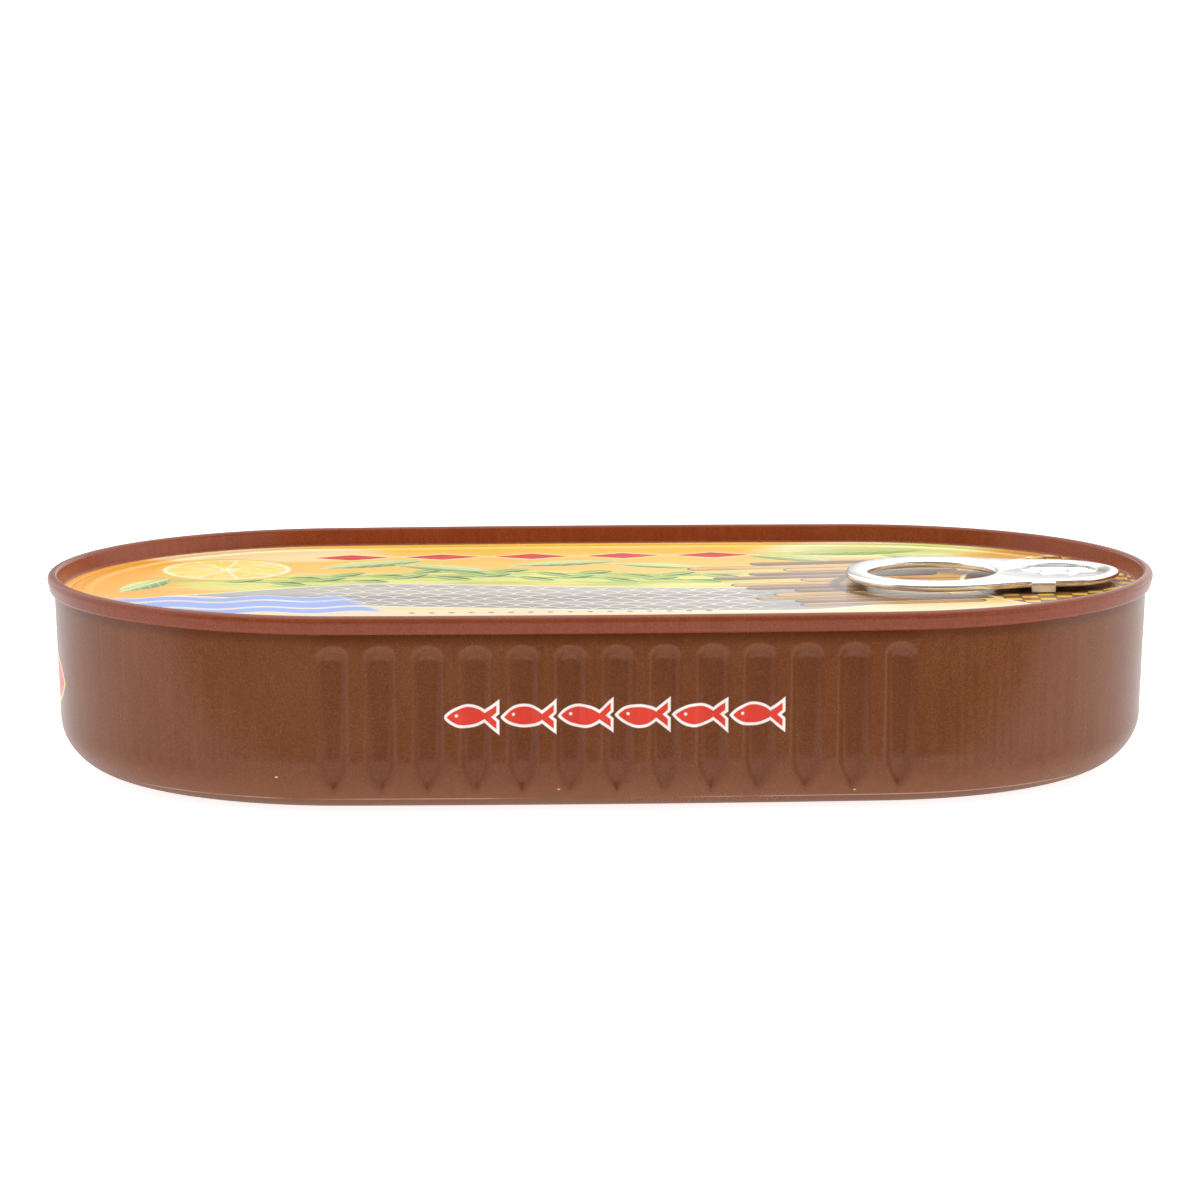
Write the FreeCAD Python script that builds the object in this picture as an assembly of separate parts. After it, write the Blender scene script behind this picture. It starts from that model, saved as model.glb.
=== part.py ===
import FreeCAD, Part
import math
import os

# Oblong pressed-metal fish tin with a double-seamed easy-open lid and a ring pull.
# Millimetres, +Z up. X runs along the length, Y across the width.
# The origin is the middle of the resting plane under the base.

V = FreeCAD.Vector

# ---------------------------------------------------------------- sizes
RIM_LENGTH = 148.0        # over the seamed rim
RIM_WIDTH = 81.0          # over the seamed rim, at the middle of the long sides
SIDE_BOW_RADIUS = 930.0   # the long sides are very slightly bowed
HEIGHT = 26.4             # resting plane to the top of the rim

SEAM_HEIGHT = 2.50        # outer face of the double seam
SEAM_TOP_RADIUS = 0.75    # outer top corner of the seam
SEAM_CROWN = 0.15         # flat crown of the seam
SEAM_INNER_RADIUS = 0.47  # inner top corner of the seam
SEAM_FOOT_RADIUS = 0.72   # lower corner of the seam
SEAM_LEAN = 14.0          # degrees that the seam's outer face draws in towards its foot
CHUCK_SLOPE = 0.22        # inward lean of the wall inside the rim

BODY_INSET = 0.95         # body wall inside the outer face of the seam
WALL_DRAFT = 0.042        # inward lean of the body wall, mm per mm
BASE_RISE = 7.6           # height of the round between wall and base
BASE_RUN = 9.0            # width of the same round

PANEL_TOP = 24.0          # upper face of the lid panel
PANEL_UNDER = 23.7        # underside of the lid panel
NECK_THICKNESS = 0.40     # upstanding edge of the body inside the seam
CHUCK_FOOT_RADIUS = 0.35
SCORE_OFFSET = 2.75       # tear line, from the outer face of the seam
SCORE_WIDTH = 0.30
SCORE_DEPTH = 0.09
BEAD_OFFSET = 4.1         # outer edge of the stiffening bead
BEAD_WIDTH = 2.2
BEAD_HEIGHT = 0.14

FLUTE_COUNT = 13          # on each long side
FLUTE_PITCH = 6.13
FLUTE_HALF_WIDTH = 2.25
FLUTE_DEPTH = 1.15
FLUTE_TAPER = 1.1        # half-width lost per mm of depth
FLUTE_TOP = 22.45
FLUTE_BOTTOM = 1.0        # the tool ends here; the flute runs out sooner in the base round

TAB_UNDER = 24.75         # underside of the curled ring pull
TAB_TOP = 25.8
TAB_EDGE_RADIUS = 0.42
TAB_START = 33.0          # free end of the ring
TAB_END = 69.7            # tip of the nose
HOLE_CENTRE = 44.4
HOLE_RADIUS_X = 8.6
HOLE_RADIUS_Y = 8.8
# half-width of the ring pull at stations along its length
TAB_STATIONS = (
    (33.25, 2.9), (34.15, 5.8), (35.9, 8.7), (38.4, 11.0), (41.4, 12.4),
    (44.5, 12.9), (47.6, 12.6), (50.6, 11.7), (53.2, 10.7), (55.6, 9.9),
    (58.2, 9.35), (61.0, 9.1), (63.5, 8.65), (65.6, 7.55), (67.3, 5.9),
    (68.6, 3.95), (69.4, 2.05),
)
ISLAND_CENTRE = 61.6      # sunk oval round the rivet
ISLAND_HALF_X = 5.3
ISLAND_HALF_Y = 5.6
ISLAND_TOP = 25.2
RIVET_BUTTON_RADIUS = 3.4
RIVET_SHANK_RADIUS = 1.5
RIVET_HEAD_RADIUS = 2.7
RIVET_HEAD_HEIGHT = 0.4
LUG_START = 56.9          # small down-turned lugs beside the nose
LUG_END = 60.1
LUG_OUT = 9.75
LUG_THICKNESS = 0.75
LUG_FOOT = 24.12
LUG_TOP = 25.45

# ---------------------------------------------------------------- oblong outline
HALF_L = RIM_LENGTH / 2.0
HALF_W = RIM_WIDTH / 2.0
END_RADIUS = ((2.0 * SIDE_BOW_RADIUS * HALF_W - HALF_W ** 2 - HALF_L ** 2)
              / (2.0 * (SIDE_BOW_RADIUS - HALF_L)))
END_X = HALF_L - END_RADIUS
SIDE_Y = SIDE_BOW_RADIUS - HALF_W
END_HALF_ANGLE = math.atan2(SIDE_Y, END_X)
SIDE_HALF_ANGLE = math.pi / 2.0 - END_HALF_ANGLE

# the four arcs: centre x, centre y, radius, start angle, swept angle
ARCS = (
    (END_X, 0.0, END_RADIUS, -END_HALF_ANGLE, 2.0 * END_HALF_ANGLE),
    (0.0, -SIDE_Y, SIDE_BOW_RADIUS, END_HALF_ANGLE, 2.0 * SIDE_HALF_ANGLE),
    (-END_X, 0.0, END_RADIUS, math.pi - END_HALF_ANGLE, 2.0 * END_HALF_ANGLE),
    (0.0, SIDE_Y, SIDE_BOW_RADIUS, math.pi + END_HALF_ANGLE, 2.0 * SIDE_HALF_ANGLE),
)


def arc_point(arc, offset, z, angle):
    cx, cy, r, _start, _sweep = arc
    return V(cx + (r + offset) * math.cos(angle), cy + (r + offset) * math.sin(angle), z)


def outline_face(offset, z):
    edges = []
    for arc in ARCS:
        a0, sweep = arc[3], arc[4]
        edges.append(Part.Arc(arc_point(arc, offset, z, a0),
                              arc_point(arc, offset, z, a0 + sweep / 2.0),
                              arc_point(arc, offset, z, a0 + sweep)).toShape())
    return Part.Face(Part.Wire(edges))


def profile_edge(arc, piece):
    """One edge of the section, stood at the start of the given arc."""
    kind, points = piece
    spots = [arc_point(arc, o, z, arc[3]) for o, z in points]
    if kind == "line":
        return Part.makeLine(spots[0], spots[1])
    if kind == "arc":
        return Part.Arc(spots[0], spots[1], spots[2]).toShape()
    curve = Part.BSplineCurve()
    curve.interpolate(spots)
    return curve.toShape()


def oblong_solid(pieces, low_cap=None, high_cap=None):
    """Carry a section round the oblong and close it with two flat faces.

    A section that closes on itself gives a ring and takes no flat faces.
    """
    faces = [outline_face(*cap) for cap in (low_cap, high_cap) if cap is not None]
    for arc in ARCS:
        axis = V(arc[0], arc[1], 0)
        for piece in pieces:
            edge = profile_edge(arc, piece)
            faces.append(edge.revolve(axis, V(0, 0, 1), math.degrees(arc[4])))
    shell = Part.makeShell(faces)
    shell.sewShape(1e-5)
    solid = Part.Solid(Part.Shell(shell.Faces))
    if solid.Volume < 0:
        solid.reverse()
    return solid


def corner(centre, radius, start_deg, end_deg):
    """A round of the section as start, middle and end points."""
    points = []
    for a in (start_deg, (start_deg + end_deg) / 2.0, end_deg):
        t = math.radians(a)
        points.append((centre[0] + radius * math.cos(t), centre[1] + radius * math.sin(t)))
    return ("arc", points)


def chain(parts):
    """Join rounds and single points with straight lines."""
    pieces, last = [], None
    for part in parts:
        if isinstance(part[0], str):
            first, end, piece = part[1][0], part[1][-1], part
        else:
            first, end, piece = part, part, None
        if last is not None and math.dist(last, first) > 1e-7:
            pieces.append(("line", (last, first)))
        if piece is not None:
            pieces.append(piece)
        last = end
    return pieces


# ---------------------------------------------------------------- body
SEAM_FOOT = HEIGHT - SEAM_HEIGHT


def wall_offset(z):
    return -BODY_INSET - WALL_DRAFT * (SEAM_FOOT - z)


def base_round(shift=0.0, count=11):
    points = []
    for i in range(count):
        t = math.pi / 2.0 * (1.0 - i / (count - 1.0))
        points.append((wall_offset(BASE_RISE) - BASE_RUN * (1.0 - math.cos(t)) - shift,
                       BASE_RISE * (1.0 - math.sin(t))))
    return ("curve", points)


def make_body():
    low = wall_offset(BASE_RISE) - BASE_RUN
    neck = -BODY_INSET - NECK_THICKNESS
    pieces = chain([base_round(), (-BODY_INSET, SEAM_FOOT), (neck, SEAM_FOOT),
                    (neck, PANEL_UNDER)])
    plain = oblong_solid(pieces, (low, 0.0), (neck, PANEL_UNDER))

    # floor of the flutes: the same form drawn in by the flute depth
    floor_low = low - FLUTE_DEPTH
    floor_pieces = chain([base_round(FLUTE_DEPTH),
                          (wall_offset(PANEL_UNDER) - FLUTE_DEPTH, PANEL_UNDER)])
    core = oblong_solid(floor_pieces, (floor_low, 0.0),
                        (wall_offset(PANEL_UNDER) - FLUTE_DEPTH, PANEL_UNDER))

    cutters = []
    for side in (-1, 1):
        for i in range(FLUTE_COUNT):
            cutters.append(flute_cutter((i - (FLUTE_COUNT - 1) / 2.0) * FLUTE_PITCH, side))
    fluted = plain.cut(Part.makeCompound(cutters))
    body = fluted.fuse(core).removeSplitter()
    return body


def flute_outline(half, y):
    """Straight sides under a half-round head, in a plane of constant y."""
    crown = FLUTE_TOP - FLUTE_HALF_WIDTH
    a = V(-half, y, FLUTE_BOTTOM)
    b = V(-half, y, crown)
    c = V(0, y, crown + half)
    d = V(half, y, crown)
    e = V(half, y, FLUTE_BOTTOM)
    return Part.Wire([Part.makeLine(a, b), Part.Arc(b, c, d).toShape(),
                      Part.makeLine(d, e), Part.makeLine(e, a)])


def flute_cutter(x, side):
    """A tapered key that is widest outside the wall and closes to a ridge inside it."""
    out, into = 1.6, 1.4
    wide = FLUTE_HALF_WIDTH + out * FLUTE_TAPER
    slim = FLUTE_HALF_WIDTH - into * FLUTE_TAPER
    tool = Part.makeLoft([flute_outline(wide, -out), flute_outline(slim, into)], True, True)
    # lean with the wall about the seam foot
    tool.rotate(V(0, 0, SEAM_FOOT), V(1, 0, 0), math.degrees(math.atan(WALL_DRAFT)))
    # stand it square to the bowed side
    reach = SIDE_BOW_RADIUS - BODY_INSET
    lean = math.asin(x / reach)
    tool.rotate(V(0, 0, 0), V(0, 0, 1), math.degrees(lean))
    tool.translate(V(reach * math.sin(lean), SIDE_Y - reach * math.cos(lean), 0))
    if side > 0:
        tool.rotate(V(0, 0, 0), V(0, 0, 1), 180.0)
    return tool


# ---------------------------------------------------------------- seam and lid panel
SCORE_MIDDLE = (-SCORE_OFFSET - SCORE_WIDTH / 2.0, PANEL_TOP - SCORE_DEPTH)


def make_seam():
    """The rolled rim with the wall inside it, as far as the middle of the tear line."""
    neck = -BODY_INSET - NECK_THICKNESS
    lean = math.radians(SEAM_LEAN)
    top_x, top_z = -SEAM_TOP_RADIUS, HEIGHT - SEAM_TOP_RADIUS
    foot_z = SEAM_FOOT + SEAM_FOOT_RADIUS
    drop = (top_z - SEAM_TOP_RADIUS * math.sin(lean)) - (foot_z - SEAM_FOOT_RADIUS * math.sin(lean))
    foot_x = (top_x + SEAM_TOP_RADIUS * math.cos(lean) - drop * math.tan(lean)
              - SEAM_FOOT_RADIUS * math.cos(lean))
    inner_x = -(SEAM_TOP_RADIUS + SEAM_CROWN)
    panel_edge = inner_x - SEAM_INNER_RADIUS - CHUCK_SLOPE - CHUCK_FOOT_RADIUS
    pieces = chain([
        (neck, PANEL_UNDER), (neck, SEAM_FOOT),
        corner((foot_x, foot_z), SEAM_FOOT_RADIUS, -90, -SEAM_LEAN),
        corner((top_x, top_z), SEAM_TOP_RADIUS, -SEAM_LEAN, 90),
        corner((inner_x, HEIGHT - SEAM_INNER_RADIUS), SEAM_INNER_RADIUS, 90, 180),
        corner((panel_edge, PANEL_TOP + CHUCK_FOOT_RADIUS), CHUCK_FOOT_RADIUS, 0, -90),
        (-SCORE_OFFSET, PANEL_TOP), SCORE_MIDDLE, (SCORE_MIDDLE[0], PANEL_UNDER),
        (neck, PANEL_UNDER),
    ])
    return oblong_solid(pieces)


def make_panel():
    """The tear-off panel inside the tear line, with its stiffening bead."""
    b0 = -BEAD_OFFSET
    b1 = b0 - BEAD_WIDTH
    bead = []
    for i in range(9):
        s = i / 8.0
        bead.append((b0 - BEAD_WIDTH * s,
                     PANEL_TOP + BEAD_HEIGHT * 0.5 * (1.0 - math.cos(2.0 * math.pi * s))))
    pieces = chain([
        (SCORE_MIDDLE[0], PANEL_UNDER), SCORE_MIDDLE,
        (-SCORE_OFFSET - SCORE_WIDTH, PANEL_TOP),
        ("curve", bead),
    ])
    return oblong_solid(pieces, (SCORE_MIDDLE[0], PANEL_UNDER), (b1, PANEL_TOP))


def make_rivet():
    """Button under the ring pull, shank through it and a domed head over it."""
    at = V(ISLAND_CENTRE, 0, PANEL_TOP)
    button = Part.makeCylinder(RIVET_BUTTON_RADIUS, TAB_UNDER - at.z, at)
    shank = Part.makeCylinder(RIVET_SHANK_RADIUS, ISLAND_TOP + 0.1 - at.z, at)
    head = Part.makeCylinder(RIVET_HEAD_RADIUS, RIVET_HEAD_HEIGHT, V(ISLAND_CENTRE, 0, ISLAND_TOP))
    head = head.makeFillet(RIVET_HEAD_HEIGHT * 0.8, [e for e in head.Edges
                           if abs(e.CenterOfMass.z - (ISLAND_TOP + RIVET_HEAD_HEIGHT)) < 1e-6])
    return button.fuse([shank, head]).removeSplitter()


# ---------------------------------------------------------------- ring pull
def tab_outline_face(z):
    near = [V(x, -w, z) for x, w in TAB_STATIONS]
    far = [V(x, w, z) for x, w in reversed(TAB_STATIONS)]
    spots = [V(TAB_START, 0, z)] + near + [V(TAB_END, 0, z)] + far
    curve = Part.BSplineCurve()
    curve.interpolate(spots, PeriodicFlag=True)
    return Part.Face(Part.Wire([curve.toShape()]))


def oval(cx, half_x, half_y, z, height):
    """An upright oval cylinder."""
    spots = []
    for i in range(32):
        a = 2.0 * math.pi * i / 32.0
        spots.append(V(cx + half_x * math.cos(a), half_y * math.sin(a), z))
    curve = Part.BSplineCurve()
    curve.interpolate(spots, PeriodicFlag=True)
    return Part.Face(Part.Wire([curve.toShape()])).extrude(V(0, 0, height))


def make_tab():
    thick = TAB_TOP - TAB_UNDER
    plate = tab_outline_face(TAB_UNDER).extrude(V(0, 0, thick))
    plate = plate.cut(oval(HOLE_CENTRE, HOLE_RADIUS_X, HOLE_RADIUS_Y, TAB_UNDER - 1, thick + 2))
    rims = [e for e in plate.Edges
            if e.BoundBox.ZLength < 1e-6 and e.Length > 20.0]
    plate = plate.makeFillet(TAB_EDGE_RADIUS, rims)
    plate = plate.cut(oval(ISLAND_CENTRE, ISLAND_HALF_X, ISLAND_HALF_Y, ISLAND_TOP, 2.0))
    plate = plate.cut(Part.makeCylinder(RIVET_SHANK_RADIUS, 4.0, V(ISLAND_CENTRE, 0, TAB_UNDER - 1)))
    lugs = []
    for side in (-1, 1):
        y0 = -LUG_OUT if side < 0 else LUG_OUT - LUG_THICKNESS
        lug = Part.makeBox(LUG_END - LUG_START, LUG_THICKNESS, LUG_TOP - LUG_FOOT,
                           V(LUG_START, y0, LUG_FOOT))
        lug = lug.makeFillet(0.22, [e for e in lug.Edges
                                    if abs(e.CenterOfMass.y - side * LUG_OUT) < 1e-6])
        lugs.append(lug)
    return plate.fuse(lugs).removeSplitter()


def write(name, shape):
    if not shape.isValid():
        raise RuntimeError(name + " is not a valid solid")
    if len(shape.Solids) != 1:
        raise RuntimeError(name + " has %d solids" % len(shape.Solids))
    solid = shape.Solids[0]
    solid.exportStep("parts/" + name + ".step")
    box = solid.BoundBox
    print("%-10s volume %9.1f mm3  x %.2f..%.2f  y %.2f..%.2f  z %.2f..%.2f  faces %d" % (
        name, solid.Volume, box.XMin, box.XMax, box.YMin, box.YMax, box.ZMin, box.ZMax,
        len(solid.Faces)))


def main():
    os.makedirs("parts", exist_ok=True)
    pieces = {
        "can_body": make_body(),
        "seam_rim": make_seam(),
        "lid_panel": make_panel(),
        "rivet": make_rivet(),
        "pull_tab": make_tab(),
    }
    names = list(pieces)
    for i, a in enumerate(names):
        for b in names[i + 1:]:
            print("shared by %s and %s: %.6f mm3" % (a, b, pieces[a].common(pieces[b]).Volume))
    for name in names:
        write(name, pieces[name])


main()
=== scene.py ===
import math

import bmesh
import bpy
import numpy as np
from mathutils import Matrix, Vector


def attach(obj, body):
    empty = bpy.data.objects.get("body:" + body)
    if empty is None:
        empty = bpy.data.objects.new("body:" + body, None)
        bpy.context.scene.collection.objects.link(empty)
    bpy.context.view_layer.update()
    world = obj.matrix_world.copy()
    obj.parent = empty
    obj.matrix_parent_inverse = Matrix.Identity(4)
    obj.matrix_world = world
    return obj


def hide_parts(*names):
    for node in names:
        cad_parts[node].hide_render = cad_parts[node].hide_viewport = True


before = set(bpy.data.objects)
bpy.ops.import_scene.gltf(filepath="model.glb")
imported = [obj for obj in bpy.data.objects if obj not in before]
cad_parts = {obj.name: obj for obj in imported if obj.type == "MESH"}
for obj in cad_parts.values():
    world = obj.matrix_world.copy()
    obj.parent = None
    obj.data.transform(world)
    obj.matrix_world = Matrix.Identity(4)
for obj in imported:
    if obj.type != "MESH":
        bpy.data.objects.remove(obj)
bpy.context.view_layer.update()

MM = 0.001
scene = bpy.context.scene

# ------------------------------------------------------------------ sizes, as in the CAD part (mm)
RIM_LENGTH, RIM_WIDTH, SIDE_BOW, HEIGHT = 148.0, 81.0, 930.0, 26.4
SEAM_HEIGHT, SEAM_TOP_R, SEAM_CROWN, SEAM_IN_R, SEAM_FOOT_R, SEAM_LEAN = 2.50, 0.75, 0.15, 0.47, 0.72, 14.0
CHUCK_SLOPE, CHUCK_FOOT_R = 0.22, 0.35
BODY_INSET, WALL_DRAFT, BASE_RISE, BASE_RUN = 0.95, 0.042, 7.6, 9.0
PANEL_TOP, PANEL_UNDER, NECK = 24.0, 23.7, 0.40
SCORE_OFFSET, SCORE_WIDTH, SCORE_DEPTH = 2.75, 0.30, 0.09
BEAD_OFFSET, BEAD_WIDTH, BEAD_HEIGHT = 4.1, 2.2, 0.14
FLUTES, FLUTE_PITCH, FLUTE_HALF, FLUTE_DEPTH, FLUTE_TAPER, FLUTE_TOP = 13, 6.13, 2.25, 1.15, 1.1, 22.45
TAB_UNDER, ISLAND_X, ISLAND_TOP = 24.75, 61.6, 25.2
BUTTON_R, SHANK_R, HEAD_R, HEAD_H = 3.4, 1.5, 2.7, 0.4

SEAM_FOOT = HEIGHT - SEAM_HEIGHT
HALF_L, HALF_W = RIM_LENGTH / 2, RIM_WIDTH / 2
END_R = (2 * SIDE_BOW * HALF_W - HALF_W ** 2 - HALF_L ** 2) / (2 * (SIDE_BOW - HALF_L))
END_X = HALF_L - END_R
SIDE_Y = SIDE_BOW - HALF_W
END_A = math.atan2(SIDE_Y, END_X)
SIDE_A = math.pi / 2 - END_A
ARCS = (
    (END_X, 0.0, END_R, -END_A, 2 * END_A),
    (0.0, -SIDE_Y, SIDE_BOW, END_A, 2 * SIDE_A),
    (-END_X, 0.0, END_R, math.pi - END_A, 2 * END_A),
    (0.0, SIDE_Y, SIDE_BOW, math.pi + END_A, 2 * SIDE_A),
)


# ------------------------------------------------------------------ mesh helpers
def columns(end_step, side_step, blend=0.0):
    """Stations round the oblong: centre x, centre y, radius, cos, sin."""
    out = []
    for i, (cx, cy, r, start, sweep) in enumerate(ARCS):
        if i % 2:
            n = max(2, int(round(r * sweep / side_step)))
            angles = [start + sweep * k / n for k in range(n)]
        else:
            edge = blend / r
            n_edge = int(round(blend / side_step)) if blend else 0
            n_mid = int(round(r * (sweep - 2 * edge) / end_step))
            angles = [start + edge * k / n_edge for k in range(n_edge)] if n_edge else []
            angles += [start + edge + (sweep - 2 * edge) * k / n_mid for k in range(n_mid)]
            angles += [start + sweep - edge + edge * k / n_edge for k in range(n_edge)] if n_edge else []
        out += [(cx, cy, r, math.cos(a), math.sin(a)) for a in angles]
    return np.array(out)


def arc(cx, cz, r, a0, a1, n):
    t = np.radians(np.linspace(a0, a1, n))
    return [(cx + r * math.cos(a), cz + r * math.sin(a)) for a in t]


def line(a, b, n):
    return [(a[0] + (b[0] - a[0]) * k / n, a[1] + (b[1] - a[1]) * k / n) for k in range(1, n)]


def swept(cols, profile, dent=None):
    """Grid of points: one ring of columns for each (offset, z) of the profile."""
    rings = []
    for o, z in profile:
        r = cols[:, 2] + o
        x = cols[:, 0] + r * cols[:, 3]
        y = cols[:, 1] + r * cols[:, 4]
        zz = np.full(len(cols), z)
        if dent is not None:
            d = dent(x, y, zz, cols)
            x = x - d * cols[:, 3]
            y = y - d * cols[:, 4]
        rings.append(np.column_stack([x, y, zz]))
    return rings


def ring_mesh(name, rings, closed=False):
    """Skin over a stack of rings, with flat ends, or joined end to end when closed."""
    n = len(rings[0])
    count = len(rings)
    points = np.vstack(rings) * MM
    faces = []
    for i in range(count if closed else count - 1):
        a, b = i * n, (i + 1) % count * n
        for k in range(n):
            j = (k + 1) % n
            faces.append((a + k, a + j, b + j, b + k))
    if not closed:
        faces.append(tuple(range(n - 1, -1, -1)))
        last = (count - 1) * n
        faces.append(tuple(range(last, last + n)))
    me = bpy.data.meshes.new(name)
    me.from_pydata([tuple(p) for p in points], [], faces)
    me.validate()
    return me


def add_object(name, me, smooth=None):
    ob = bpy.data.objects.new(name, me)
    scene.collection.objects.link(ob)
    if smooth is not None:
        for p in me.polygons:
            p.use_smooth = True
        me.set_sharp_from_angle(angle=math.radians(smooth))
    return ob


# ------------------------------------------------------------------ body
def wall_offset(z):
    return -BODY_INSET - WALL_DRAFT * (SEAM_FOOT - z)


def soft_floor(x, k):
    """max(x, 0) with a rounded foot."""
    return 0.5 * (x + np.sqrt(x * x + k * k))


def flute_dent(x, y, z, cols):
    """How far each wall point is pressed in by the flutes, along the wall's normal."""
    d = np.zeros_like(x)
    reach = SIDE_BOW - BODY_INSET
    crown = FLUTE_TOP - FLUTE_HALF
    for side in (-1, 1):
        for i in range(FLUTES):
            fx = (i - (FLUTES - 1) / 2) * FLUTE_PITCH
            lean = math.asin(fx / reach)
            ox, oy = reach * math.sin(lean), SIDE_Y - reach * math.cos(lean)
            sx, sy = (x, y) if side < 0 else (-x, -y)
            dx = (sx - ox) * math.cos(lean) + (sy - oy) * math.sin(lean)
            near = (np.abs(dx) < FLUTE_HALF * 1.8) & (sy < 0)
            if not near.any():
                continue
            into = -(sx - ox) * math.sin(lean) + (sy - oy) * math.cos(lean)
            sunk = into - WALL_DRAFT * (SEAM_FOOT - z)
            dist = np.where(z < crown, np.abs(dx), np.hypot(dx, z - crown))
            # the head slopes a little more gently than the sides
            rise = np.clip((z - crown) / np.maximum(dist, 1e-6), 0, 1)
            room = (FLUTE_HALF - dist) / (FLUTE_TAPER * (1 + 0.30 * rise * rise)) - sunk
            press = soft_floor(room, 0.10)
            press = FLUTE_DEPTH - soft_floor(FLUTE_DEPTH - press, 0.16)
            press = np.clip(press, 0, None)
            d = np.where(near, np.maximum(d, press), d)
    # the strip above the flutes is drawn in a little towards the seam
    zone = np.clip((FLUTES / 2 * FLUTE_PITCH + 1.5 - np.abs(x)) / 5.0, 0, 1)
    zone = zone * zone * (3 - 2 * zone)
    lift = np.clip((z - 22.3) / (SEAM_FOOT - 22.3), 0, 1)
    d = d + zone * 0.42 * lift ** 1.2
    return d


def build_body():
    cols = columns(1.0, 0.3, blend=6.0)
    prof = []
    low = wall_offset(BASE_RISE) - BASE_RUN
    prof += [(-38.0, 0.0), (-33.0, 0.0), (-25.0, 0.0), (-18.0, 0.0), (-14.0, 0.0), (low - 0.8, 0.0)]
    n = 26
    for k in range(n + 1):
        t = math.pi / 2 * (1 - k / n)
        prof.append((wall_offset(BASE_RISE) - BASE_RUN * (1 - math.cos(t)), BASE_RISE * (1 - math.sin(t))))
    zs = list(np.arange(BASE_RISE + 0.55, 19.5, 0.62)) + list(np.arange(19.6, SEAM_FOOT - 0.05, 0.27))
    prof += [(wall_offset(z), z) for z in zs]
    prof += [(-BODY_INSET, SEAM_FOOT)]
    rings = swept(cols, prof, flute_dent)
    inner = swept(cols, [(-BODY_INSET - NECK, SEAM_FOOT), (-BODY_INSET - NECK, PANEL_UNDER)])
    me = ring_mesh("can_body_skin", rings + inner)
    return add_object("can_body_skin", me, smooth=40)


# ------------------------------------------------------------------ seam, lid panel and rivet
SCORE_MID = -SCORE_OFFSET - SCORE_WIDTH / 2


def build_seam():
    cols = columns(1.0, 3.0)
    lean = math.radians(SEAM_LEAN)
    top_x, top_z = -SEAM_TOP_R, HEIGHT - SEAM_TOP_R
    foot_z = SEAM_FOOT + SEAM_FOOT_R
    drop = (top_z - SEAM_TOP_R * math.sin(lean)) - (foot_z - SEAM_FOOT_R * math.sin(lean))
    foot_x = top_x + SEAM_TOP_R * math.cos(lean) - drop * math.tan(lean) - SEAM_FOOT_R * math.cos(lean)
    inner_x = -(SEAM_TOP_R + SEAM_CROWN)
    edge_x = inner_x - SEAM_IN_R - CHUCK_SLOPE - CHUCK_FOOT_R
    neck = -BODY_INSET - NECK
    prof = [(neck, PANEL_UNDER), (neck, SEAM_FOOT)]
    prof += arc(foot_x, foot_z, SEAM_FOOT_R, -90, -SEAM_LEAN, 9)
    top = arc(top_x, top_z, SEAM_TOP_R, -SEAM_LEAN, 90, 13)
    prof += line(prof[-1], top[0], 4) + top
    prof += arc(inner_x, HEIGHT - SEAM_IN_R, SEAM_IN_R, 90, 180, 9)
    first_inner = len(prof) - 5
    foot = arc(edge_x, PANEL_TOP + CHUCK_FOOT_R, CHUCK_FOOT_R, 0, -90, 7)
    prof += line(prof[-1], foot[0], 6) + foot
    first_print = len(prof) - 2
    prof += [(-SCORE_OFFSET + 0.02, PANEL_TOP), (SCORE_MID, PANEL_TOP - SCORE_DEPTH)]
    last_print = len(prof) - 1
    prof += [(SCORE_MID, PANEL_UNDER)]
    n = len(cols)
    me = ring_mesh("seam_rim_skin", swept(cols, prof), closed=True)
    for _ in range(3):
        me.materials.append(None)
    for p in me.polygons:
        ring = p.index // n
        p.material_index = 1 if first_print <= ring < last_print else 2 if first_inner <= ring < first_print else 0
    return add_object("seam_rim_skin", me, smooth=38)


def build_panel():
    cols = columns(1.1, 3.0)
    prof = [(-38.0, PANEL_UNDER), (-20.0, PANEL_UNDER), (SCORE_MID, PANEL_UNDER),
            (SCORE_MID, PANEL_TOP - SCORE_DEPTH), (-SCORE_OFFSET - SCORE_WIDTH - 0.02, PANEL_TOP), (-3.6, PANEL_TOP)]
    for k in range(17):
        s = k / 16
        prof.append((-BEAD_OFFSET - BEAD_WIDTH * s,
                     PANEL_TOP + BEAD_HEIGHT * 0.5 * (1 - math.cos(2 * math.pi * s))))
    prof += [(-7.4, PANEL_TOP), (-10.0, PANEL_TOP), (-14.0, PANEL_TOP), (-19.0, PANEL_TOP),
             (-25.0, PANEL_TOP), (-31.0, PANEL_TOP), (-36.0, PANEL_TOP), (-38.6, PANEL_TOP)]
    return add_object("lid_panel_skin", ring_mesh("lid_panel_skin", swept(cols, prof)), smooth=38)


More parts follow.
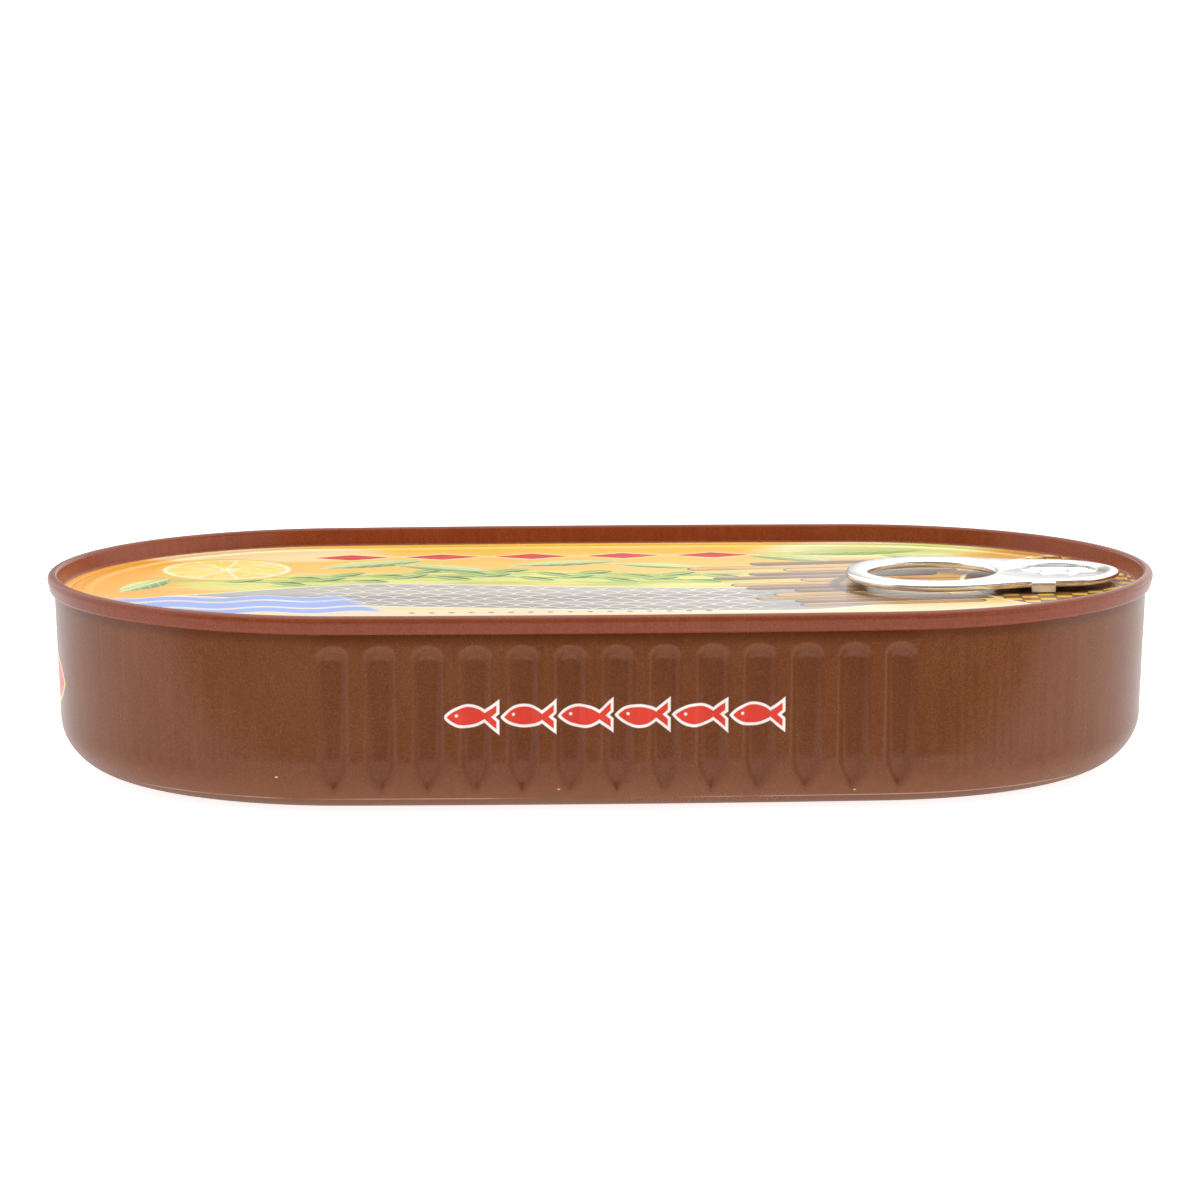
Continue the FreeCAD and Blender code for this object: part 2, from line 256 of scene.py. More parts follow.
def build_rivet():
    """Button under the tab, shank through it and a domed head over it, as one turned skin."""
    z1 = TAB_UNDER
    h0, h1 = ISLAND_TOP + 0.002, ISLAND_TOP + HEAD_H - 0.002
    prof = [(BUTTON_R - 0.03, PANEL_TOP), (BUTTON_R, PANEL_TOP + 0.03), (BUTTON_R, z1 - 0.12),
            (BUTTON_R - 0.04, z1 - 0.04), (BUTTON_R - 0.12, z1 - 0.002), (SHANK_R, z1 - 0.002), (SHANK_R, h0),
            (HEAD_R - 0.15, h0), (HEAD_R - 0.03, h0 + 0.03)]
    prof += [(HEAD_R - 0.30 + 0.30 * math.cos(t), h1 - 0.28 + 0.28 * math.sin(t))
             for t in np.radians([8, 30, 50, 70, 88])]
    prof += [(1.6, h1), (1.35, h1 - 0.02), (1.1, h1 - 0.12), (0.5, h1 - 0.14)]
    seg = 56
    turn = [2 * math.pi * k / seg for k in range(seg)]
    rings = [np.array([(ISLAND_X + r * math.cos(a), r * math.sin(a), z) for a in turn]) for r, z in prof]
    return add_object("rivet_skin", ring_mesh("rivet_skin", rings), smooth=38)


# ------------------------------------------------------------------ ring pull, from the CAD solid
def build_tab():
    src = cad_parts["pull_tab"]
    me = src.data.copy()
    me.name = "pull_tab_skin"
    me.transform(src.matrix_world)
    bm = bmesh.new()
    bm.from_mesh(me)
    bmesh.ops.remove_doubles(bm, verts=bm.verts, dist=2e-6)
    bmesh.ops.dissolve_degenerate(bm, edges=bm.edges, dist=1e-7)
    bm.to_mesh(me)
    bm.free()
    me.materials.clear()
    return add_object("pull_tab_skin", me, smooth=33)


# ------------------------------------------------------------------ node helpers
class Net:
    """Builds node graphs from plain arithmetic."""

    def __init__(self, name):
        self.mat = bpy.data.materials.new(name)
        self.mat.use_nodes = True
        self.tree = self.mat.node_tree
        self.tree.nodes.clear()
        self.out = self.tree.nodes.new("ShaderNodeOutputMaterial")
        self.bsdf = self.tree.nodes.new("ShaderNodeBsdfPrincipled")
        self.tree.links.new(self.bsdf.outputs[0], self.out.inputs[0])
        tc = self.tree.nodes.new("ShaderNodeTexCoord")
        self.co = tc.outputs["Object"]
        sep = self.tree.nodes.new("ShaderNodeSeparateXYZ")
        self.tree.links.new(self.co, sep.inputs[0])
        self.x = Val(self, sep.outputs[0]) * 1000.0
        self.y = Val(self, sep.outputs[1]) * 1000.0
        self.z = Val(self, sep.outputs[2]) * 1000.0

    def feed(self, socket, value):
        if isinstance(value, Val):
            self.tree.links.new(value.s, socket)
        elif isinstance(value, bpy.types.NodeSocket):
            self.tree.links.new(value, socket)
        else:
            socket.default_value = value

    def math(self, op, *args):
        n = self.tree.nodes.new("ShaderNodeMath")
        n.operation = op
        for i, a in enumerate(args):
            self.feed(n.inputs[i], a)
        return Val(self, n.outputs[0])

    def mix(self, fac, a, b, mode="MIX"):
        n = self.tree.nodes.new("ShaderNodeMix")
        n.data_type = "RGBA"
        n.blend_type = mode
        self.feed(n.inputs[0], fac)
        self.feed(n.inputs[6], a)
        self.feed(n.inputs[7], b)
        return n.outputs[2]

    def noise(self, scale, detail=2.0, rough=0.5, stretch=(1, 1, 1), offset=(0, 0, 0), kind="Fac", distort=0.0):
        mp = self.tree.nodes.new("ShaderNodeMapping")
        mp.inputs["Scale"].default_value = stretch
        mp.inputs["Location"].default_value = offset
        self.tree.links.new(self.co, mp.inputs[0])
        n = self.tree.nodes.new("ShaderNodeTexNoise")
        n.inputs["Scale"].default_value = scale
        n.inputs["Detail"].default_value = detail
        n.inputs["Roughness"].default_value = rough
        n.inputs["Distortion"].default_value = distort
        self.tree.links.new(mp.outputs[0], n.inputs["Vector"])
        return Val(self, n.outputs[kind]) if kind == "Fac" else n.outputs[kind]

    def bump(self, height, strength, distance, normal=None):
        n = self.tree.nodes.new("ShaderNodeBump")
        n.inputs["Strength"].default_value = strength
        n.inputs["Distance"].default_value = distance
        self.feed(n.inputs["Height"], height)
        if normal is not None:
            self.tree.links.new(normal, n.inputs["Normal"])
        return n.outputs[0]

    def ramp(self, v, lo, hi, a=0.0, b=1.0, smooth=True):
        n = self.tree.nodes.new("ShaderNodeMapRange")
        n.interpolation_type = "SMOOTHSTEP" if smooth else "LINEAR"
        self.feed(n.inputs[0], v)
        for i, q in enumerate((lo, hi, a, b)):
            n.inputs[1 + i].default_value = q
        return Val(self, n.outputs[0])

    def inside(self, sd, soft=0.10):
        """1 where the distance is below zero, with a thin soft edge."""
        return self.ramp(sd, soft / 2, -soft / 2, smooth=False)


class Val:
    def __init__(self, net, s):
        self.net, self.s = net, s

    def _o(self, op, b):
        return self.net.math(op, self, b)

    def __add__(self, b):
        return self._o("ADD", b)

    __radd__ = __add__

    def __sub__(self, b):
        return self._o("SUBTRACT", b)

    def __rsub__(self, b):
        return self.net.math("SUBTRACT", b, self)

    def __mul__(self, b):
        return self._o("MULTIPLY", b)

    __rmul__ = __mul__

    def __truediv__(self, b):
        return self._o("DIVIDE", b)

    def __neg__(self):
        return self * -1.0

    def abs(self):
        return self.net.math("ABSOLUTE", self)

    def max(self, b):
        return self._o("MAXIMUM", b)

    def min(self, b):
        return self._o("MINIMUM", b)

    def sin(self):
        return self.net.math("SINE", self)

    def sqrt(self):
        return self.net.math("SQRT", self)


def srgb(r, g, b):
    def c(v):
        v /= 255.0
        return v / 12.92 if v <= 0.04045 else ((v + 0.055) / 1.055) ** 2.4
    return (c(r), c(g), c(b), 1.0)


def hyp(a, b):
    return (a * a + b * b).sqrt()


def turned_xy(x, y, cx, cy, deg):
    c, s = math.cos(math.radians(deg)), math.sin(math.radians(deg))
    dx, dy = x - cx, y - cy
    return dx * c + dy * s, dy * c - dx * s


def oval_sd(x, y, a, b):
    return (hyp(x / a, y / b) - 1.0) * b


def lens_sd(x, y, half, bulge):
    """A leaf shape along x, half long and bulge wide each way."""
    r = (half * half + bulge * bulge) / (2.0 * bulge)
    return hyp(x, y.abs() + (r - bulge)) - r


def fish_sd(x, y, s):
    """A plain fish, nose to -x, about 7.6 s long and 2.9 s high."""
    body = lens_sd(x + 0.7 * s, y, 3.1 * s, 1.4 * s)
    k = 0.80
    tail = (y.abs() - (x - 1.35 * s) * k) * (1 / math.sqrt(1 + k * k))
    tail = tail.max(x - 3.7 * s).max((x * -1.0 + (1.5 * s)))
    notch = ((x * -1.0 + 2.9 * s) + y.abs() * 1.15) * 0.66
    tail = tail.max(notch * -1.0)
    return body.min(tail)


# ------------------------------------------------------------------ materials
def lacquer(name, deep, light, with_print):
    n = Net(name)
    grain = n.noise(4200.0, 1.0, 0.6)
    cloud = n.noise(55.0, 3.0, 0.55, offset=(0.3, 0.1, 0.7))
    blotch = n.noise(420.0, 2.0, 0.5, offset=(0.9, 0.4, 0.2))
    drawn = n.noise(1100.0, 2.0, 0.6, stretch=(1, 1, 0.012), offset=(0.4, 0.8, 0.1))
    lines = (drawn - 0.5) * n.ramp(n.noise(40.0, 1.0, 0.5, offset=(1.4, 0.2, 0.5)), 0.40, 0.62, 0.10, 0.42)
    tone = n.ramp(grain * 0.62 + blotch * 0.14 + cloud * 0.24 + lines, 0.36, 0.64)
    colour = n.mix(tone, deep, light)
    # faint painted highlight: a paler line low on the base round, in broken stretches
    highlight_line_dist = (n.z - 1.75).abs()
    dash = n.ramp(n.noise(45.0, 2.0, 0.7, stretch=(1, 1, 0.0), offset=(2.0, 0, 0)), 0.40, 0.56)
    painted_highlight = n.ramp(highlight_line_dist, 0.12, 0.03) * dash
    colour = n.mix(painted_highlight * 0.68, colour, srgb(226, 190, 168))
    if with_print:
        # the lacquer is painted paler low down and darker in the groove under the rim, as painted light and painted
        # shade, and has a few tiny chips
        # painted light: paler low down, where the base round faces the bright floor
        colour = n.mix(n.ramp(n.z, 7.0, 1.0) * 0.36, colour, srgb(146, 92, 60))
        # painted shade: darker just under the rim, where the seam's overhang shades the wall
        colour = n.mix(n.ramp(n.z, 22.2, 23.6) * 0.5, colour, srgb(84, 41, 18))
        for cx, cz in ((-7.5, 3.2), (31.0, 2.6), (-44.0, 5.0)):
            chip = hyp((n.x - cx) * 0.6, n.z - cz) - 0.16 + blotch * 0.12
            colour = n.mix(n.inside(chip, 0.08) * 0.8, colour, srgb(232, 200, 180))
        front = n.ramp(n.y, -30.0, -32.0, smooth=False)
        span = n.ramp((n.x + 0.3).abs(), 22.1, 22.0, smooth=False)
        # a row of six plain fish along the side
        pitch = 7.4
        cell = n.math("FLOOR", (n.x + 0.3) / pitch)
        lx = (n.x + 0.3) - cell * pitch - pitch / 2
        sd = fish_sd(lx, n.z - 13.05, 0.86)
        on = front * span
        colour = n.mix(n.inside(sd - 0.36) * on, colour, srgb(250, 243, 238))
        eye = hyp(lx + 2.0, n.z - 13.25) - 0.2
        red = n.inside(sd) * (1.0 - n.inside(eye))
        colour = n.mix(red * on, colour, srgb(222, 62, 42))
        # one larger fish on each end
        end = n.ramp(n.x.abs(), 60.0, 61.0, smooth=False)
        sgn = n.math("SIGN", n.x)
        sd2 = fish_sd(n.y * sgn * -1.0 + 0.3, n.z - 12.9, 2.05)
        colour = n.mix(n.inside(sd2 - 0.55) * end, colour, srgb(246, 196, 70))
        colour = n.mix(n.inside(sd2) * end, colour, srgb(214, 50, 38))
    n.feed(n.bsdf.inputs["Base Color"], colour)
    n.feed(n.bsdf.inputs["Roughness"], n.ramp(cloud * 0.6 + grain * 0.4, 0.3, 0.7, 0.20, 0.28))
    n.bsdf.inputs["Specular IOR Level"].default_value = 0.40
    peel = n.noise(1500.0, 2.0, 0.5, offset=(0.1, 0.5, 0.3))
    wave = n.noise(110.0, 2.0, 0.5, offset=(0.6, 0.2, 0.8))
    nb = n.bump(peel, 0.20, 0.00003)
    nb = n.bump(wave, 0.15, 0.00012, nb)
    n.feed(n.bsdf.inputs["Normal"], nb)
    return n.mat


def lid_print(name):
    n = Net(name)
    x, y = n.x, n.y
    soft = n.noise(38.0, 3.0, 0.55)
    fine = n.noise(900.0, 2.0, 0.6, offset=(0.2, 0.2, 0.2))
    # warm field, deeper at the ends and far side, creamy towards the near side
    warm = n.mix(n.ramp(x, -30.0, -62.0), srgb(250, 198, 66), srgb(248, 172, 10))
    warm = n.mix(n.ramp(x, 44.0, 66.0), warm, srgb(206, 146, 56))
    cream = n.mix(n.ramp(soft, 0.35, 0.65), srgb(244, 214, 118), srgb(240, 196, 72))
    colour = n.mix(n.ramp(y + soft * 10.0, 12.0, -22.0), warm, cream)
    colour = n.mix(n.ramp(y + soft * 6.0, -8.0, -18.0) * 0.75, colour, srgb(252, 228, 192))
    # soft pale streaks
    streak = n.noise(26.0, 3.0, 0.6, stretch=(0.5, 6.0, 1.0), offset=(0.0, 0.4, 0.0))
    colour = n.mix(n.ramp(streak, 0.52, 0.72) * n.ramp(x, -66.0, -44.0) * 0.55, colour, srgb(252, 226, 150))

    # pale patch at the far left
    pale = hyp((x + 45.0) / 17.0, (y - 30.0) / 6.0) - 1.0 + streak * 0.7 - 0.3
    colour = n.mix(n.ramp(pale, 0.25, -0.15) * 0.8, colour, srgb(255, 232, 180))

    # garland of leaves on a pale green band
    along = y - 9.0 + ((x * 0.11).sin() * 3.0 + soft * 8.0) * 0.6
    band = n.inside(along.abs() - 6.0, 1.6) * n.ramp(x, 30.0, 12.0) * n.ramp(x, -64.0, -50.0)
    greens = n.mix(n.ramp(n.noise(110.0, 3.0, 0.6, stretch=(0.7, 3, 1)), 0.40, 0.62), srgb(172, 198, 52), srgb(232, 232, 116))
    colour = n.mix(band * 0.9, colour, greens)
    for lift, slide in ((0.4, 0.0), (4.4, 2.6)):
        gy = along - lift
        cell = n.math("FLOOR", (x - slide) / 5.6)
        side = n.math("FLOORED_MODULO", cell, 2.0) * 2.0 - 1.0
        gx = x - slide - (cell + 0.5) * 5.6
        ly = gy - side * 1.3
        u = gx * 0.829 + ly * side * 0.559
        v = ly * 0.829 - gx * side * 0.559
        leaf = n.mix(n.ramp(v * side, -1.3, 1.3), srgb(62, 112, 8), srgb(150, 188, 40))
        leaf = n.mix(n.inside(v.abs() - 0.14, 0.12), leaf, srgb(226, 236, 150))
        lim = n.ramp(x - slide, -50.5, -50.3) * n.ramp(x - slide, 16.9, 16.7)
        colour = n.mix(n.inside(gy.abs() - 0.20, 0.15) * lim, colour, srgb(70, 104, 20))
        colour = n.mix(n.inside(lens_sd(u, v, 3.2, 1.35), 0.12) * lim, colour, leaf)

    # lime field at the far right
    lime = n.inside(hyp((x - 39.0) / 17.0, (y - 31.0) / 7.5) - 1.0 + soft * 0.5 - 0.2, 0.35)
    limes = n.mix(n.ramp(streak, 0.40, 0.62), srgb(222, 232, 124), srgb(250, 250, 212))
    colour = n.mix(lime * 0.92, colour, limes)

    # leaves
    for cx, cy, deg, half, bulge, tint in LEAVES:
        u, v = turned_xy(x, y, cx, cy, deg)
        sd = lens_sd(u, v, half, bulge)
        leaf = n.mix(n.ramp(v, -bulge, bulge), tint, srgb(226, 238, 150))
        vein = n.inside(v.abs() - 0.16, 0.15)
        ribs = n.ramp(((u + v.abs() * 1.2) * 2.6).sin(), 0.80, 0.97) * 0.35
        leaf = n.mix(vein.max(ribs), leaf, srgb(244, 248, 200))
        colour = n.mix(n.inside(sd, 0.15), colour, leaf)

    # grey sweep across the middle
    bend = (x * 0.045 + 0.6).sin() * 3.5
    sweep_sd = (y + 8.6 + bend).abs() - n.ramp(x, -62.0, -26.0, 0.0, 10.3) * n.ramp(x, 54.0, 24.0, 0.0, 1.0) + 0.7
    grey = n.mix(n.ramp(streak, 0.35, 0.65), srgb(150, 147, 146), srgb(184, 179, 172))
    colour = n.mix(n.inside(sweep_sd - 0.5, 0.2), colour, srgb(250, 244, 226))
    colour = n.mix(n.inside(sweep_sd, 0.2), colour, grey)
    # rows of small scales on the sweep
    across = y + 8.6 + bend
    row = n.math("FLOOR", across / 2.4)
    sx = x + n.math("FLOORED_MODULO", row, 2.0) * 2.0
    sx = sx - n.math("ROUND", sx / 4.0) * 4.0
    scale_sd = (hyp(sx, across - row * 2.4) - 2.0).abs() - 0.17
    lim = n.inside(sweep_sd + 0.5, 0.1) * n.ramp(x, -44.0, -34.0) * n.ramp(x, 26.0, 16.0)
    colour = n.mix(n.inside(scale_sd, 0.15) * lim * 0.85, colour, srgb(252, 238, 204))

    # lemon wheel
    lx, ly = -50.0, 17.0
    rr = hyp(x - lx, y - ly)
    wheel = n.mix(n.inside(rr - 9.6, 0.2), colour, srgb(244, 190, 40))
    wheel = n.mix(n.inside(rr - 8.7, 0.2), wheel, srgb(255, 246, 206))
    ang = n.math("ARCTAN2", y - ly, x - lx)
    spoke = (ang * 4.5).sin().abs() * rr
    flesh = n.inside(rr - 8.0, 0.2) * n.inside(0.75 - spoke, 0.3) * n.inside(1.0 - rr, 0.2)
    colour = n.mix(flesh, wheel, n.mix(n.ramp(fine, 0.4, 0.6), srgb(250, 212, 72), srgb(255, 230, 120)))

    # rounded bars in browns and golds towards the right
    streaks = n.noise(120.0, 4.0, 0.65, stretch=(0.35, 2.2, 1.0), offset=(0.7, 0.1, 0.0), distort=0.4)
    u, v = turned_xy(x, y, 34.0, 0.0, 7.0)
    row = n.math("FLOOR", v / 3.0)
    vc = v - (row + 0.5) * 3.0
    mid = (row * 2.1).sin() * 5.0 + 2.0
    half = 17.0 - (row * 1.3).sin().abs() * 6.0
    bar = hyp(((u - mid).abs() - half).max(0.0), vc) - 1.26
    lim = n.ramp(v, 21.0, 20.95, smooth=False) * n.ramp(v, -18.0, -17.95, smooth=False)
    tint = n.mix(n.ramp((row * 1.7 + 0.6).sin(), -0.3, 0.3), srgb(122, 76, 42), srgb(228, 172, 88))
    tint = n.mix(n.ramp(streaks, 0.60, 0.38) * 0.55, tint, srgb(78, 48, 28))
    tint = n.mix(n.ramp(vc, 0.1, 1.2) * 0.55, tint, srgb(244, 198, 104))
    colour = n.mix(n.inside(bar - 0.3, 0.2) * lim, colour, srgb(72, 42, 26))
    colour = n.mix(n.inside(bar, 0.15) * lim, colour, tint)

    # painted shadow of the ring pull: a dark crescent at the loop's left edge
    ring_shadow_dist = (hyp(x - 44.4, y + 1.0) - 13.0).abs() - 0.3
    colour = n.mix(n.ramp(ring_shadow_dist, 0.9, 0.0) * n.ramp(x, 40.0, 35.0) * 0.8, colour, srgb(64, 42, 28))

    # checked disc at the right end
    kx, ky = n.math("FLOOR", x / 2.3), n.math("FLOOR", y / 1.9)
    check = n.mix(n.math("FLOORED_MODULO", kx + ky, 2.0), srgb(140, 86, 26), srgb(242, 186, 56))
    inset = (x / 2.3 - kx - 0.5).abs().max((y / 1.9 - ky - 0.5).abs())
    check = n.mix(n.ramp(inset, 0.40, 0.46) * 0.7, check, srgb(70, 44, 22))
    # painted shadow: a dark oval under the ring pull, round the rivet, showing just past the pull's edges
    check = n.mix(n.ramp(oval_sd(x - 57.5, y, 12.0, 9.9), 0.7, -0.7) * 0.85, check, srgb(62, 40, 24))
    disc = hyp(x - 76.0, y) - 27.0
    colour = n.mix(n.inside(disc - 0.6, 0.2), colour, srgb(250, 236, 190))
    colour = n.mix(n.inside(disc, 0.2), colour, check)

    # red lozenges along both sides
    cell = n.math("ROUND", (x + 8.0) / 12.4)
    cell = cell.max(-2.0).min(2.0)
    gx = (x + 8.0) - cell * 12.4
    dia = (gx.abs() * 0.42 + (y.abs() - 27.0).abs() * 0.91) - 2.2
    colour = n.mix(n.inside(dia - 0.7, 0.15), colour, srgb(255, 232, 160))
    colour = n.mix(n.inside(dia, 0.15), colour, srgb(218, 20, 8))

    # blue waves at the near left
    wv = (x * 0.52).sin() * 0.9
    for cy, w in ((-8.5, 1.5), (-13.4, 2.3), (-18.6, 1.7)):
        band_sd = (y - cy - wv).abs() - w
        lim = n.ramp(x + y * 0.4, -37.0, -39.0) * n.ramp(x - y * 0.3, -64.0, -61.0)
        colour = n.mix(n.inside(band_sd - 0.35, 0.15) * lim, colour, srgb(235, 240, 250))
        colour = n.mix(n.inside(band_sd, 0.15) * lim, colour, srgb(148, 172, 236))

    # a row of brown dots near each side
    dx = x - n.math("ROUND", x / 2.6) * 2.6
    dots = hyp(dx, y.abs() - 21.8) - 0.42
    lim = n.ramp(x, -27.5, -27.2) * n.ramp(x, 15.0, 14.7)
    colour = n.mix(n.inside(dots, 0.15) * lim * n.ramp(y, 0.0, -1.0), colour, srgb(150, 88, 40))

    colour = n.mix(0.06, colour, n.mix(fine, srgb(90, 70, 50), srgb(255, 255, 255)))
    n.feed(n.bsdf.inputs["Base Color"], colour)
    n.feed(n.bsdf.inputs["Roughness"], n.ramp(soft, 0.3, 0.7, 0.20, 0.28))
    n.bsdf.inputs["Specular IOR Level"].default_value = 0.5
    wave = n.noise(45.0, 2.0, 0.5, offset=(0.6, 0.2, 0.8))
    nb = n.bump(wave, 0.35, 0.0004)
    n.feed(n.bsdf.inputs["Normal"], nb)
    return n.mat


LEAVES = (
    (-30.0, 21.0, 25.0, 8.0, 2.6, srgb(84, 136, 16)),
    (-20.5, 17.0, -28.0, 7.5, 2.4, srgb(96, 146, 22)),
    (-4.0, 20.5, 14.0, 8.0, 2.2, srgb(70, 122, 10)),
    (9.0, 17.5, -20.0, 7.0, 2.0, srgb(84, 134, 16)),
    (-61.0, 4.0, 60.0, 6.5, 2.3, srgb(92, 142, 22)),
    (37.0, 29.0, 8.0, 10.0, 3.2, srgb(130, 176, 30)),
    (47.0, 23.0, -22.0, 8.0, 2.6, srgb(100, 150, 24)),
    (27.0, 24.0, -30.0, 7.0, 2.4, srgb(104, 152, 26)),
    (-37.0, -29.0, 30.0, 6.5, 2.2, srgb(84, 136, 16)),
    (22.5, -29.0, -32.0, 6.5, 2.2, srgb(96, 146, 22)),
    (33.0, -27.5, 28.0, 6.5, 2.2, srgb(84, 134, 16)),
)


def bright_metal(name):
    n = Net(name)
    soft = n.noise(160.0, 3.0, 0.55)
    brushed = n.noise(700.0, 2.0, 0.6, stretch=(0.12, 1.0, 1.0))
    n.feed(n.bsdf.inputs["Base Color"], n.mix(n.ramp(soft, 0.3, 0.7), srgb(247, 247, 246), srgb(254, 254, 252)))
    # the lower, rolled edge is duller than the top
    edge = n.ramp(n.z + soft * 0.1, 25.22, 24.98)
    n.feed(n.bsdf.inputs["Metallic"], 1.0 - edge * 0.6)
    n.feed(n.bsdf.inputs["Roughness"], n.ramp(brushed * 0.5 + soft * 0.5, 0.3, 0.7, 0.16, 0.26) + edge * 0.22)
    nb = n.bump(soft, 0.18, 0.00010)
    nb = n.bump(brushed, 0.04, 0.00002, nb)
    n.feed(n.bsdf.inputs["Normal"], nb)
    return n.mat


# ------------------------------------------------------------------ put the object together
body = build_body()
seam = build_seam()
panel = build_panel()
rivet = build_rivet()
tab = build_tab()

mat_body = lacquer("brown_lacquer_printed", srgb(107, 56, 25), srgb(121, 68, 34), True)
mat_rim = lacquer("brown_lacquer_rim", srgb(121, 54, 26), srgb(135, 64, 34), False)
mat_inner = lacquer("brown_lacquer_inner_wall", srgb(136, 62, 28), srgb(150, 73, 37), False)
mat_panel = lid_print("lid_panel_print")
mat_metal = bright_metal("bright_metal")

body.data.materials.append(mat_body)
seam.data.materials[0] = mat_rim
seam.data.materials[1] = mat_panel
seam.data.materials[2] = mat_inner
panel.data.materials.append(mat_panel)
rivet.data.materials.append(mat_metal)
tab.data.materials.append(mat_metal)

for piece, node in ((body, "can_body"), (seam, "seam_rim"), (panel, "lid_panel"), (rivet, "rivet"),
                    (tab, "pull_tab")):
    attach(piece, "root")
    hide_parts(node)

# ------------------------------------------------------------------ floor
S = 4.0
FRONT = -0.058


def floor_piece(name, y0, y1, glow):
    fmat = bpy.data.materials.new(name + "_white")
    fmat.use_nodes = True
    fb = fmat.node_tree.nodes["Principled BSDF"]
    fb.inputs["Base Color"].default_value = (0.62, 0.62, 0.62, 1)
    fb.inputs["Emission Color"].default_value = (1, 1, 1, 1)
    nodes, links = fmat.node_tree.nodes, fmat.node_tree.links
    # a little less bright where it is mirrored
    path = nodes.new("ShaderNodeLightPath")
    level = nodes.new("ShaderNodeMapRange")
    level.inputs[3].default_value = glow
    level.inputs[4].default_value = glow - 0.58
    links.new(path.outputs["Is Glossy Ray"], level.inputs[0])
    links.new(level.outputs[0], fb.inputs["Emission Strength"])
    fb.inputs["Roughness"].default_value = 0.9
    fb.inputs["Specular IOR Level"].default_value = 0.1
    me = bpy.data.meshes.new(name)
    me.from_pydata([(-S, y0, 0), (S, y0, 0), (S, y1, 0), (-S, y1, 0)], [], [(0, 1, 2, 3)])
    ob = bpy.data.objects.new(name, me)
    scene.collection.objects.link(ob)
    ob.location.z = -0.00005
    me.materials.append(fmat)
    return ob


floor_piece("floor", FRONT, S, 0.86)
# the front of the floor lights the tin but is not mirrored in its wall, as with a dark room beyond it
floor_piece("floor_front", -S, FRONT, 0.80).visible_glossy = False

# ------------------------------------------------------------------ light
world = bpy.data.worlds.new("studio")
scene.world = world
world.use_nodes = True
wt = world.node_tree
wt.nodes.clear()
wo = wt.nodes.new("ShaderNodeOutputWorld")
bg = wt.nodes.new("ShaderNodeBackground")
wt.links.new(bg.outputs[0], wo.inputs[0])
wc = wt.nodes.new("ShaderNodeTexCoord")
ws = wt.nodes.new("ShaderNodeSeparateXYZ")
wt.links.new(wc.outputs["Generated"], ws.inputs[0])


def w_range(source, lo, hi, a, b):
    node = wt.nodes.new("ShaderNodeMapRange")
    node.interpolation_type = "SMOOTHSTEP"
    for i, q in enumerate((lo, hi, a, b)):
        node.inputs[1 + i].default_value = q
    wt.links.new(source, node.inputs[0])
    return node.outputs[0]


def w_math(op, a, b):
    node = wt.nodes.new("ShaderNodeMath")
    node.operation = op
    for socket, q in zip(node.inputs, (a, b)):
        if isinstance(q, float):
            socket.default_value = q
        else:
            wt.links.new(q, socket)
    return node.outputs[0]


# below the horizon the sides brighten later than above it, and straight up is bright
low_sides = w_range(ws.outputs[1], -0.38, 0.02, 0.05, 0.80)
high_sides = w_range(ws.outputs[1], -0.60, -0.25, 0.12, 1.12)
above = w_range(ws.outputs[2], -0.08, 0.02, 0.0, 1.0)
sides = w_math("ADD", w_math("MULTIPLY", high_sides, above),
               w_math("MULTIPLY", low_sides, w_math("SUBTRACT", 1.0, above)))
room = w_math("MAXIMUM", sides, w_range(ws.outputs[2], 0.15, 0.75, 0.0, 0.45))
# steeply down is bright, as the floor is; a low panel stands at the right
room = w_math("MAXIMUM", room, w_range(ws.outputs[2], -0.36, -0.56, 0.0, 1.1))
panel_right = w_math("MULTIPLY", w_range(ws.outputs[0], 0.34, 0.52, 0.0, 1.9), above)
panel_right = w_math("MULTIPLY", panel_right, w_range(ws.outputs[2], 0.09, 0.17, 1.0, 0.0))
room = w_math("MAXIMUM", room, panel_right)
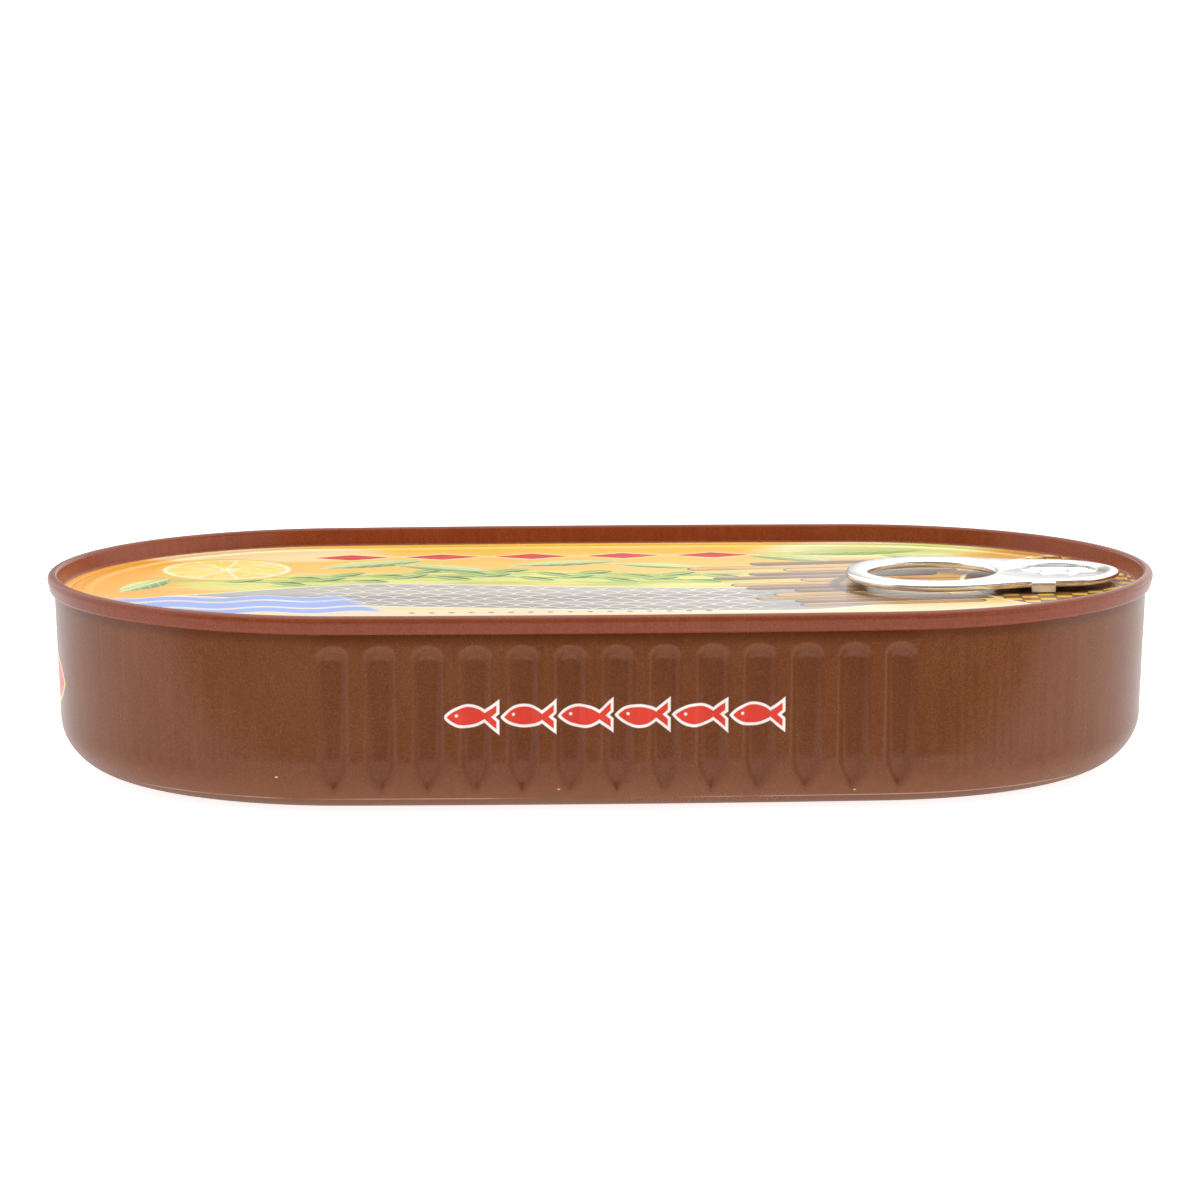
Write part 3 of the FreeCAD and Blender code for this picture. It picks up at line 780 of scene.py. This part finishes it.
# the far backdrop is dimmer towards the left
dim = w_math("MULTIPLY", w_range(ws.outputs[0], 0.10, 0.035, 0.0, 0.58), w_range(ws.outputs[0], -0.34, -0.20, 0.0, 1.0))
dim = w_math("MULTIPLY", dim, w_range(ws.outputs[1], 0.5, 0.8, 0.0, 1.0))
dim = w_math("MULTIPLY", dim, w_range(ws.outputs[2], 0.25, 0.45, 1.0, 0.0))
room = w_math("MULTIPLY", room, w_math("SUBTRACT", 1.0, dim))
lp = wt.nodes.new("ShaderNodeLightPath")
seen = wt.nodes.new("ShaderNodeMath")
seen.operation = "MAXIMUM"
wt.links.new(room, seen.inputs[0])
wt.links.new(lp.outputs["Is Camera Ray"], seen.inputs[1])
wt.links.new(seen.outputs[0], bg.inputs["Strength"])
bg.inputs["Color"].default_value = (1, 1, 1, 1)


def area(name, loc, target, size, watts, color=(1, 1, 1)):
    lamp = bpy.data.lights.new(name, "AREA")
    lamp.shape = "RECTANGLE"
    lamp.size, lamp.size_y = size
    lamp.energy = watts
    lamp.color = color
    ob = bpy.data.objects.new(name, lamp)
    scene.collection.objects.link(ob)
    ob.location = loc
    ob.rotation_euler = (Vector(target) - Vector(loc)).to_track_quat("-Z", "Y").to_euler()
    ob.visible_camera = False
    return ob


area("front_top_softbox", (0.0, -0.5, 0.72), (0, 0, 0), (1.2, 0.8), 2.2).visible_glossy = False
area("top_softbox", (0.0, 0.15, 0.9), (0, 0, 0), (1.3, 1.1), 4.0)

# ------------------------------------------------------------------ camera
CAM_D, CAM_EL, CAM_YAW, CAM_F = 1000.0, math.radians(9.504), math.radians(-3.113), 7450.4
CAM_SX, CAM_SY = 1.10, 74.32
back = Vector((math.sin(CAM_YAW) * math.cos(CAM_EL), -math.cos(CAM_YAW) * math.cos(CAM_EL), math.sin(CAM_EL)))
eye = Vector((0, 0, 12.0)) + back * CAM_D
fwd = -back
right = fwd.cross(Vector((0, 0, 1))).normalized()
upv = right.cross(fwd)
axis = (fwd - right * (CAM_SX / CAM_F) + upv * (CAM_SY / CAM_F)).normalized()
r2 = axis.cross(Vector((0, 0, 1))).normalized()
u2 = r2.cross(axis)
cam_data = bpy.data.cameras.new("camera")
cam_data.sensor_width = 36.0
cam_data.sensor_fit = "HORIZONTAL"
cam_data.lens = CAM_F / 1200.0 * 36.0
cam_data.clip_start, cam_data.clip_end = 0.05, 20.0
cam = bpy.data.objects.new("camera", cam_data)
scene.collection.objects.link(cam)
m = Matrix((r2, u2, -axis)).transposed().to_4x4()
m.translation = eye * MM
cam.matrix_world = m
scene.camera = cam
bpy.context.scene.camera = cam

scene.view_settings.view_transform = "Standard"
scene.view_settings.look = "None"
scene.view_settings.exposure = 0.0
scene.view_settings.gamma = 1.0

bpy.context.view_layer.update()
